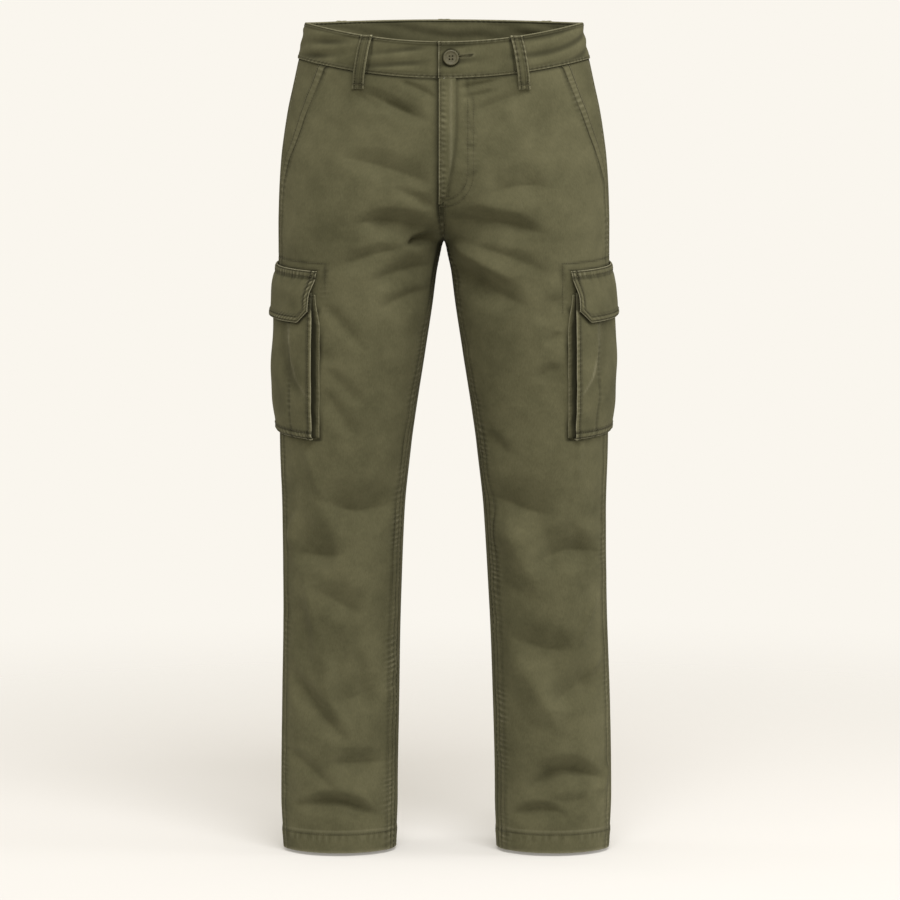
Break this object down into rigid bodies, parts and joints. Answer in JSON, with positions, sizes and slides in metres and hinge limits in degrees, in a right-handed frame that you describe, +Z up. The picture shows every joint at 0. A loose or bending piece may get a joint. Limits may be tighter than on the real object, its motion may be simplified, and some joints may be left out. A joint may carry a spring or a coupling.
{
  "type": "cargo pants",
  "caption": "Straight-leg cotton twill cargo pants with slanted hip pockets, flapped bellows pockets on the thighs, belt loops and a buttoned waistband.",
  "frame": {"origin": "the middle of the waist ring, half way up the waistband at the side seams, where the wearer's waist holds the garment up", "axes": "+Z up along the legs' length, -Y to the front of the garment, +X to the wearer's left"},
  "size_m": [0.4546, 0.2519, 1.0855],
  "materials": {
    "twill": "washed olive cotton twill, soft matte",
    "button": "satin dyed resin"
  },
  "bodies": {
    "root": {"front_left": "twill", "back_left": "twill", "hip_facing_left": "twill", "cargo_face_left": "twill", "cargo_flap_left": "twill", "cargo_gusset_front_left": "twill", "cargo_gusset_back_left": "twill", "front_right": "twill", "back_right": "twill", "hip_facing_right": "twill", "cargo_face_right": "twill", "cargo_flap_right": "twill", "cargo_gusset_front_right": "twill", "cargo_gusset_back_right": "twill", "waistband": "twill", "fly_placket": "twill", "belt_loop_front_left": "twill", "belt_loop_front_right": "twill", "belt_loop_side_back_left": "twill", "belt_loop_side_back_right": "twill", "belt_loop_centre_back": "twill", "waist_button": "button"}
  },
  "joints": []
}
